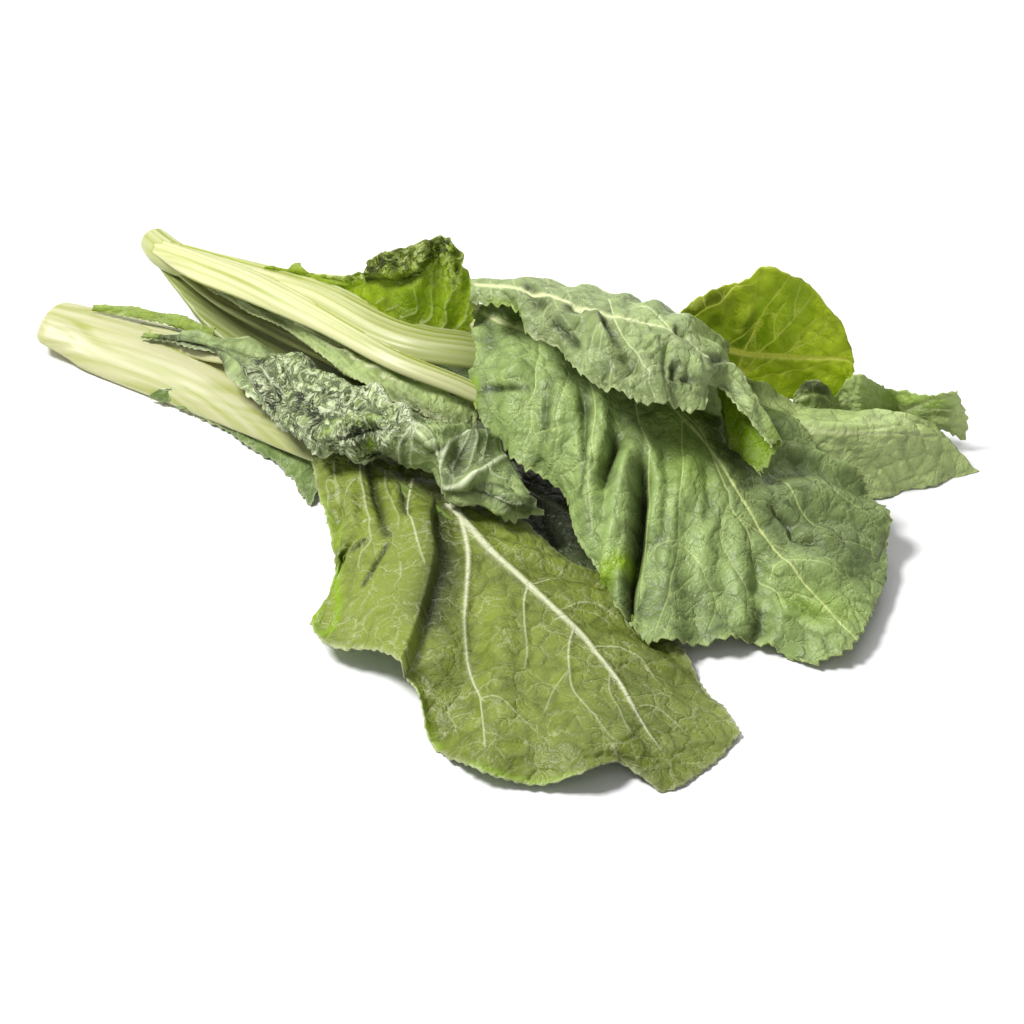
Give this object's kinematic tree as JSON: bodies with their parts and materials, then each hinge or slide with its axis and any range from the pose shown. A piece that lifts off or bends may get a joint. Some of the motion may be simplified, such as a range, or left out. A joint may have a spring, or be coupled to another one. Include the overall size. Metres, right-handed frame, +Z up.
{
  "type": "bunch of leaf mustard",
  "caption": "Cut heads of broad-leaved mustard greens lying together: pale ribbed stalks at one end, crumpled, pleated and toothed leaves at the other.",
  "frame": {"origin": "middle of the bunch's bounding box, on the surface that the bunch lies on", "axes": "+X along the bunch from the cut butts to the leaf tips, +Z up from the surface"},
  "size_m": [0.4648, 0.3592, 0.1033],
  "materials": {
    "front_stalk": "pale, moist, faintly glossy stalk skin with lengthwise yellow-green ribs",
    "back_stalk": "yellow-green, moist stalk skin with lengthwise ribs",
    "olive_leaf": "underside of a leaf, satin, with raised pale veins",
    "grey_leaf": "dull grey-green leaf skin with a fine net of veins",
    "light_leaf": "thin, light green, slightly see-through leaf",
    "blue_leaf": "waxy blue-green upper side of a leaf, puckered between fine veins",
    "bright_leaf": "thin, bright yellow-green leaf that lets light through"
  },
  "bodies": {
    "root": {"front_head_stalks": "front_stalk", "back_head_stalks": "back_stalk", "front_broad_leaf": "olive_leaf", "front_crumpled_leaf": "grey_leaf", "front_under_leaf": "grey_leaf", "front_inner_leaf": "light_leaf", "back_draped_leaf": "blue_leaf", "back_folded_leaf": "blue_leaf", "back_curled_leaf": "light_leaf", "back_upright_leaf": "bright_leaf", "back_end_leaf": "grey_leaf", "back_tip_leaf": "light_leaf", "back_far_leaf": "blue_leaf", "back_near_leaf": "grey_leaf", "back_low_leaf": "blue_leaf"}
  },
  "joints": []
}
